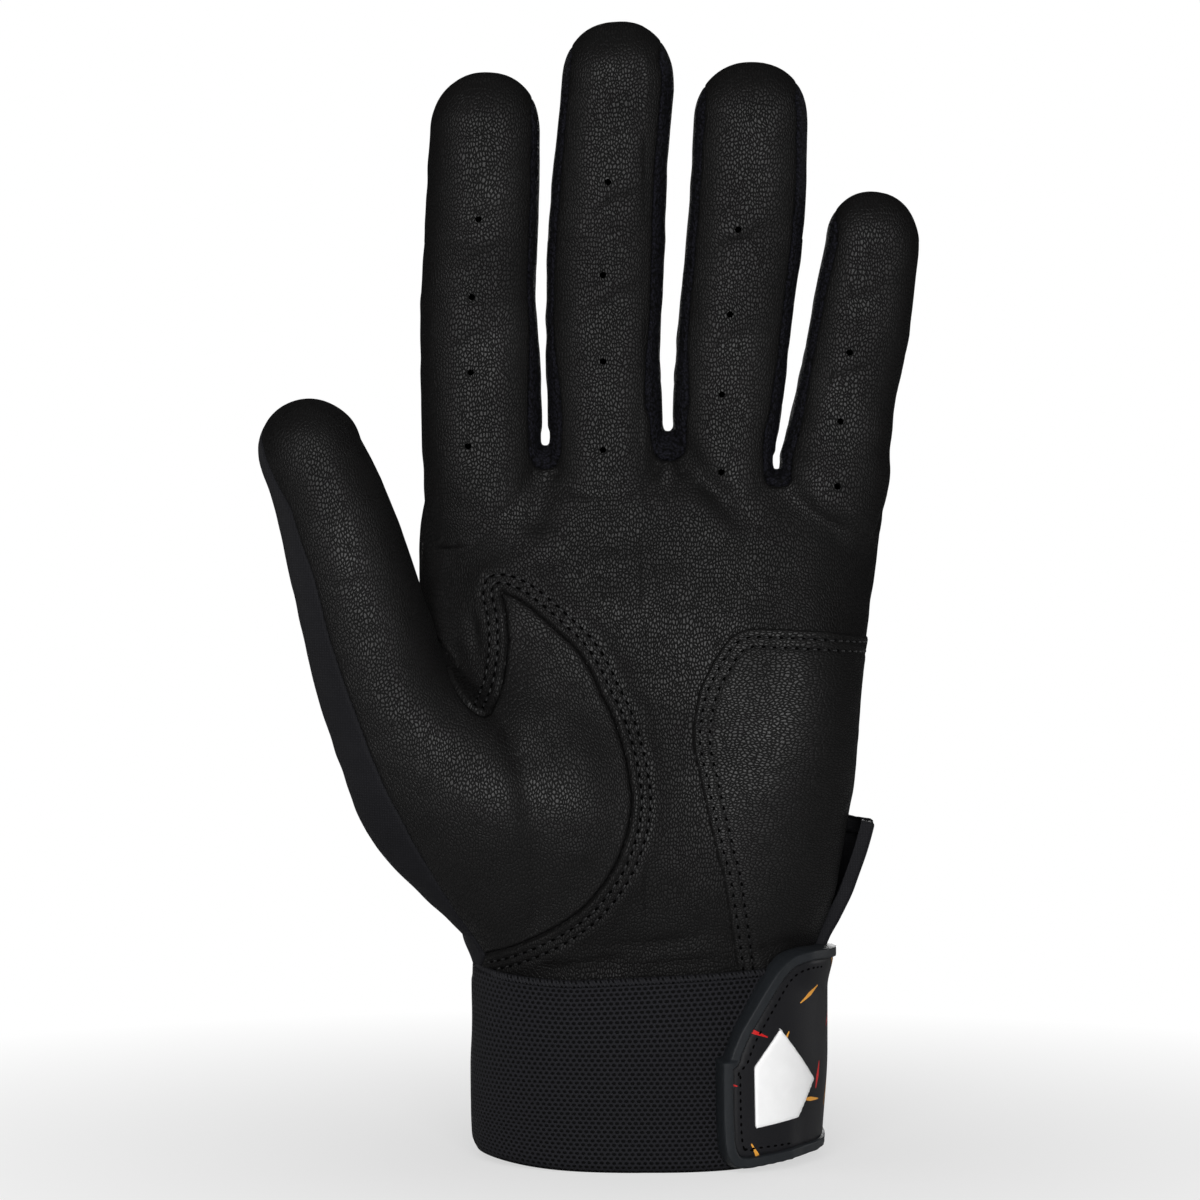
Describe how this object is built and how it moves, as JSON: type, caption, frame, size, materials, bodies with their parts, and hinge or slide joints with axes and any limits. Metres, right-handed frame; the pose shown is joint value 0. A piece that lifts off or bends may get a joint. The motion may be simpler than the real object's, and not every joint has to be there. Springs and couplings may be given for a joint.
{
  "type": "batting glove",
  "caption": "Left-hand batting glove in leather and stretch fabric, filled out as worn, with bending fingers and thumb, an elastic knit cuff and a bound wrist strap that peels open.",
  "frame": {"origin": "centre of the cuff's mouth, in the plane of its lower rim, where the hand goes in", "axes": "+Z from the cuff to the fingertips, -Y out of the palm, +X to the little-finger side"},
  "size_m": [0.1307, 0.0528, 0.2257],
  "materials": {
    "palm_leather": "fine pebbled grain, satin",
    "back_fabric": "smooth matte stretch fabric",
    "gusset_knit": "ribbed stretch knit, matte",
    "cuff_knit": "elastic mesh knit, matte",
    "strap_face": "matte coated fabric with scattered coloured dashes",
    "binding": "satin rubber-coated binding",
    "pile": "hook and loop pile",
    "badge": "smooth white moulded patch"
  },
  "bodies": {
    "hand": {"palm_leather": "palm_leather", "thumb_leather": "palm_leather", "heel_pad": "palm_leather", "back_panel": "back_fabric", "thumb_back_panel": "back_fabric", "index_middle_fourchette": "gusset_knit", "middle_ring_fourchette": "gusset_knit", "ring_little_fourchette": "gusset_knit", "index_crease": "palm_leather", "middle_crease": "palm_leather", "ring_crease": "palm_leather", "little_crease": "palm_leather", "thumb_crease": "palm_leather", "cuff_band": "cuff_knit", "cuff_edge_cord": "cuff_knit", "loop_patch": "pile", "strap_base": "strap_face", "strap_base_binding": "binding", "strap_lining": "pile", "wrist_flap": "back_fabric", "wrist_flap_binding": "binding"},
    "index_finger": {"index_front": "palm_leather", "index_back": "back_fabric", "index_outer_gusset": "gusset_knit"},
    "middle_finger": {"middle_front": "palm_leather", "middle_back": "back_fabric", "middle_inner_gusset": "gusset_knit", "middle_outer_gusset": "gusset_knit"},
    "ring_finger": {"ring_front": "palm_leather", "ring_back": "back_fabric", "ring_inner_gusset": "gusset_knit", "ring_outer_gusset": "gusset_knit"},
    "little_finger": {"little_front": "palm_leather", "little_back": "back_fabric", "little_inner_gusset": "gusset_knit"},
    "thumb_end": {"thumb_tip_front": "palm_leather", "thumb_tip_back": "back_fabric"},
    "strap": {"strap_tab": "strap_face", "strap_upper_binding": "binding", "strap_pull_binding": "binding", "hook_patch": "pile", "number_badge": "badge"}
  },
  "joints": [
    {"name": "index_bend", "type": "hinge", "parent": "hand", "child": "index_finger", "pos_m": [-0.03154, -0.00546, 0.14673], "axis": [1, 0, -0.007], "range_deg": [0, 70], "deforming": ["index_crease"]},
    {"name": "middle_bend", "type": "hinge", "parent": "hand", "child": "middle_finger", "pos_m": [-0.00688, -0.00554, 0.14768], "axis": [0.9999, 0, -0.014], "range_deg": [0, 70], "deforming": ["middle_crease"]},
    {"name": "ring_bend", "type": "hinge", "parent": "hand", "child": "ring_finger", "pos_m": [0.01733, -0.00562, 0.14661], "axis": [0.9973, 0, -0.0732], "range_deg": [0, 70], "deforming": ["ring_crease"]},
    {"name": "little_bend", "type": "hinge", "parent": "hand", "child": "little_finger", "pos_m": [0.03975, -0.00562, 0.14152], "axis": [0.9877, 0, -0.1564], "range_deg": [0, 70], "deforming": ["little_crease"]},
    {"name": "thumb_bend", "type": "hinge", "parent": "hand", "child": "thumb_end", "pos_m": [-0.0592, -0.02, 0.1214], "axis": [0.9659, 0, 0.2588], "range_deg": [0, 50], "deforming": ["thumb_crease"]},
    {"name": "strap_peel", "type": "hinge", "parent": "hand", "child": "strap", "pos_m": [0.0376, 0, 0.021], "axis": [0, 0, 1], "range_deg": [0, 140]}
  ]
}
